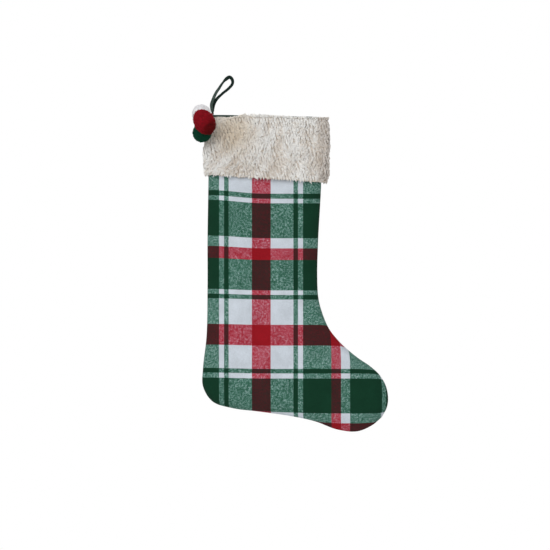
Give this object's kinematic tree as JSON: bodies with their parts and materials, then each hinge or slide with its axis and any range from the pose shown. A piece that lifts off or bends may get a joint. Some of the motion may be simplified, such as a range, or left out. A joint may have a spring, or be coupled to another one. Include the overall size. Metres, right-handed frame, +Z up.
{
  "type": "hanging stocking",
  "caption": "Plaid holiday stocking with a lining, a deep fleece cuff, a bound mouth, a hanging loop and a cluster of yarn pompoms at its corner.",
  "frame": {"origin": "the point inside the top of the hanging loop where a hook bears", "axes": "+Z up as it hangs, +X from the heel side to the toe, +Y from the front face to the back face, which lies against the wall"},
  "size_m": [0.3017, 0.0917, 0.549],
  "materials": {
    "plaid": "brushed plaid flannel, matt",
    "lining": "plain woven lining, matt",
    "fleece": "long-pile curly fleece, matt",
    "binding": "folded bias tape, matt",
    "ribbon": "ribbed cord, slight sheen",
    "thread": "sewing thread",
    "white_yarn": "cut yarn pile, matt",
    "red_yarn": "cut yarn pile, matt",
    "green_yarn": "cut yarn pile, matt"
  },
  "bodies": {
    "stocking": {"front_panel": "plaid", "back_panel": "plaid", "lining_front": "lining", "lining_back": "lining", "shell_seam_thread": "thread", "lining_seam_thread": "lining", "mouth_binding": "binding", "binding_stitch": "thread", "cuff_front": "fleece", "cuff_back": "fleece", "cuff_seam_thread_heel": "thread", "cuff_seam_thread_toe": "thread", "loop_tail": "ribbon", "pompom_tack": "thread"},
    "knot": {"loop_knot": "ribbon"},
    "loop": {"hanging_loop": "ribbon"},
    "white_tie": {"tie_white": "white_yarn"},
    "white_pompom": {"pompom_white": "white_yarn"},
    "red_tie": {"tie_red": "red_yarn"},
    "red_pompom": {"pompom_red": "red_yarn"},
    "green_tie": {"tie_green": "green_yarn"},
    "green_pompom": {"pompom_green": "green_yarn"}
  },
  "joints": [
    {"name": "loop_fold", "type": "hinge", "parent": "stocking", "child": "knot", "pos_m": [-0.0262, 0, -0.0535], "axis": [1, 0, 0], "range_deg": [-35, 35]},
    {"name": "loop_swing", "type": "hinge", "parent": "knot", "child": "loop", "pos_m": [-0.0262, 0, -0.0535], "axis": [0, 1, 0], "range_deg": [-50, 50]},
    {"name": "white_pompom_swing", "type": "hinge", "parent": "stocking", "child": "white_tie", "pos_m": [-0.0285, -0.0046, -0.0542], "axis": [-0.8339, 0.5519, 0], "range_deg": [0, 55]},
    {"name": "white_pompom_twist", "type": "hinge", "parent": "white_tie", "child": "white_pompom", "pos_m": [-0.0429, -0.025, -0.0555], "axis": [0.5816, 0.811, 0.064], "range_deg": [-180, 180]},
    {"name": "red_pompom_swing", "type": "hinge", "parent": "stocking", "child": "red_tie", "pos_m": [-0.0266, -0.005, -0.0546], "axis": [-0.3343, 0.0999, 0.9372], "range_deg": [0, 60]},
    {"name": "red_pompom_twist", "type": "hinge", "parent": "red_tie", "child": "red_pompom", "pos_m": [-0.0377, -0.0537, -0.0692], "axis": [0.3921, 0.8592, 0.3287], "range_deg": [-180, 180]},
    {"name": "green_pompom_swing", "type": "hinge", "parent": "stocking", "child": "green_tie", "pos_m": [-0.033, -0.0015, -0.0543], "axis": [-0.1123, 0.0399, -0.9929], "range_deg": [0, 70]},
    {"name": "green_pompom_twist", "type": "hinge", "parent": "green_tie", "child": "green_pompom", "pos_m": [-0.042, -0.026, -0.0849], "axis": [-0.0906, 0.7929, 0.6026], "range_deg": [-180, 180]}
  ]
}
